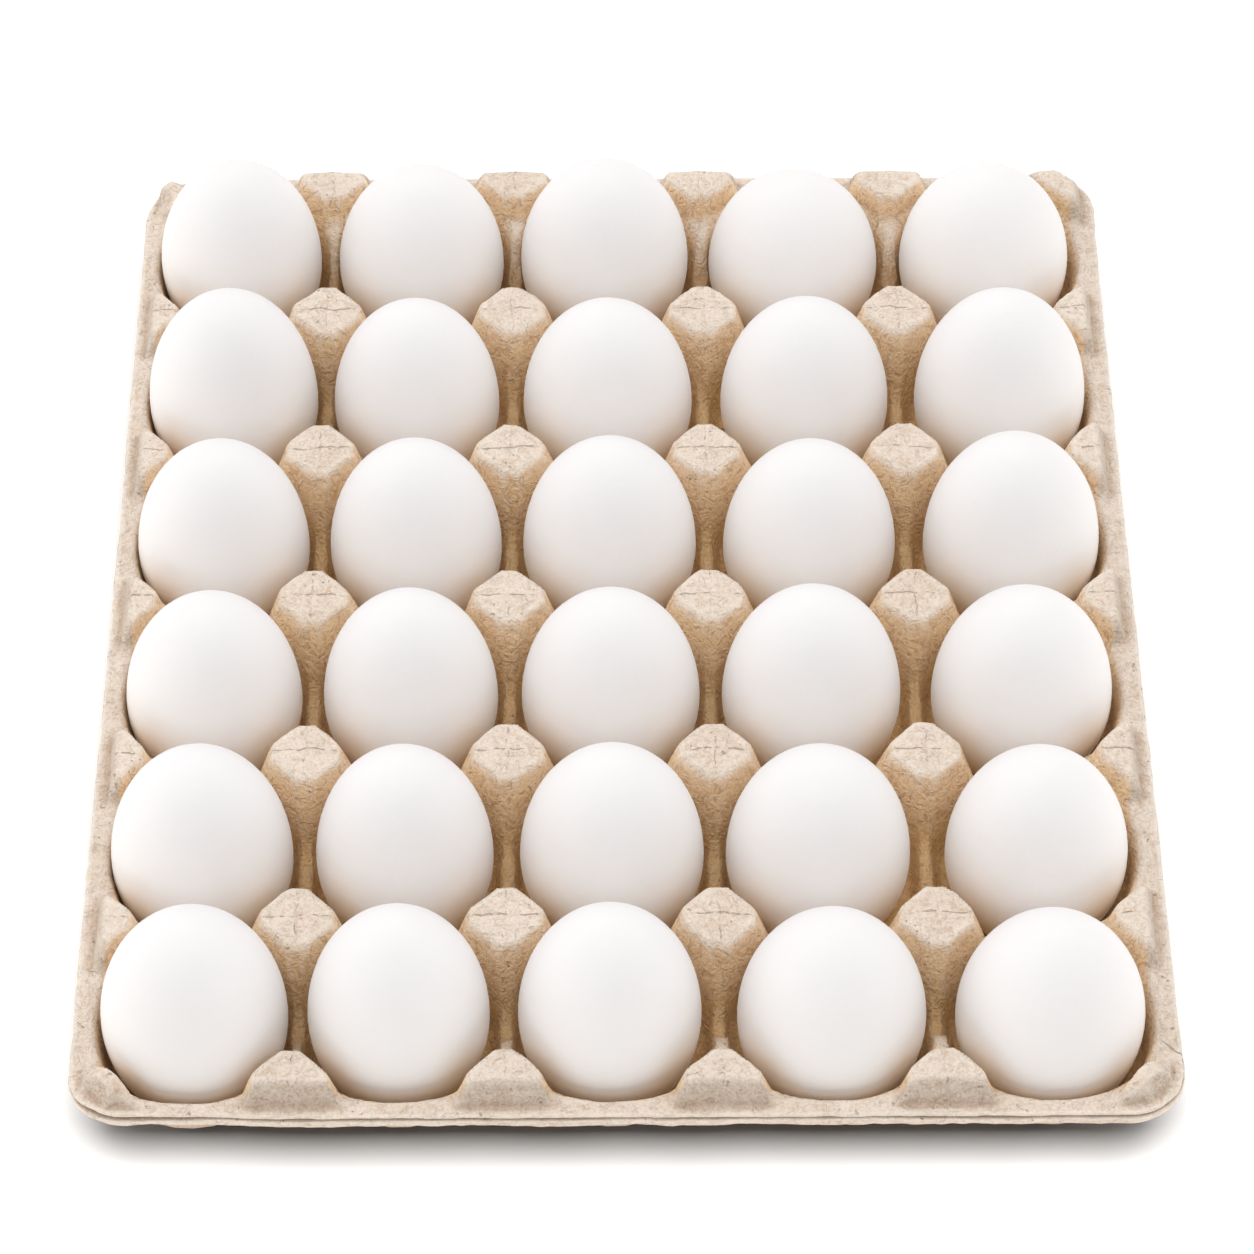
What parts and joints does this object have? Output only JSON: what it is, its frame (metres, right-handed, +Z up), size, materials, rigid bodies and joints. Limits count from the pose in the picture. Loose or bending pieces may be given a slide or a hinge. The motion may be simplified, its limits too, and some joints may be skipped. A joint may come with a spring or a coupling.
{
  "type": "open egg tray with eggs",
  "caption": "Open moulded pulp tray with rows of egg cups, each holding a white egg with its narrow end up.",
  "frame": {"origin": "centre of the overall box at the level of the cups' feet", "axes": "+X along the shorter side of the tray, +Y along its longer side from the front row to the back row, +Z up"},
  "size_m": [0.2558, 0.3096, 0.0645],
  "materials": {
    "pulp": "matt, fibrous",
    "shell": "matt to satin"
  },
  "bodies": {
    "root": {"tray": "pulp", "egg_row1_col1": "shell", "egg_row1_col2": "shell", "egg_row1_col3": "shell", "egg_row1_col4": "shell", "egg_row1_col5": "shell", "egg_row2_col1": "shell", "egg_row2_col2": "shell", "egg_row2_col3": "shell", "egg_row2_col4": "shell", "egg_row2_col5": "shell", "egg_row3_col1": "shell", "egg_row3_col2": "shell", "egg_row3_col3": "shell", "egg_row3_col4": "shell", "egg_row3_col5": "shell", "egg_row4_col1": "shell", "egg_row4_col2": "shell", "egg_row4_col3": "shell", "egg_row4_col4": "shell", "egg_row4_col5": "shell", "egg_row5_col1": "shell", "egg_row5_col2": "shell", "egg_row5_col3": "shell", "egg_row5_col4": "shell", "egg_row5_col5": "shell", "egg_row6_col1": "shell", "egg_row6_col2": "shell", "egg_row6_col3": "shell", "egg_row6_col4": "shell", "egg_row6_col5": "shell"}
  },
  "joints": []
}
